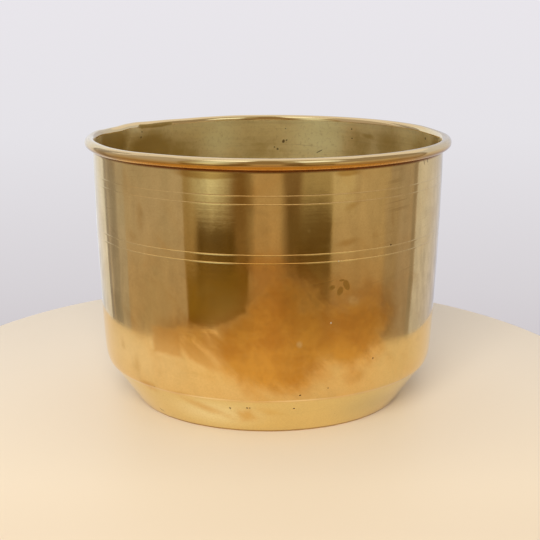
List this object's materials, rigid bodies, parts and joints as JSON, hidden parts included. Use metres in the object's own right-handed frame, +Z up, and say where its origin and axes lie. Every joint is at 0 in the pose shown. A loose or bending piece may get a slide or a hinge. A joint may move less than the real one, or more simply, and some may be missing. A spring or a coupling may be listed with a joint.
{
  "type": "flower pot",
  "caption": "Round brass planter with a tapering wall, scored lines, a coned foot and a bead rim rolled over a wire.",
  "frame": {"origin": "centre of the foot, on the surface that the pot stands on", "axes": "+Z up along the pot's axis; -Y towards the viewer of the picture, +X to their right"},
  "size_m": [0.24, 0.24, 0.175],
  "materials": {
    "brass": "polished and lightly tarnished, with fine turned lines",
    "steel_wire": "dull drawn wire"
  },
  "bodies": {
    "root": {"spun_body": "brass", "rim_wire": "steel_wire"}
  },
  "joints": []
}
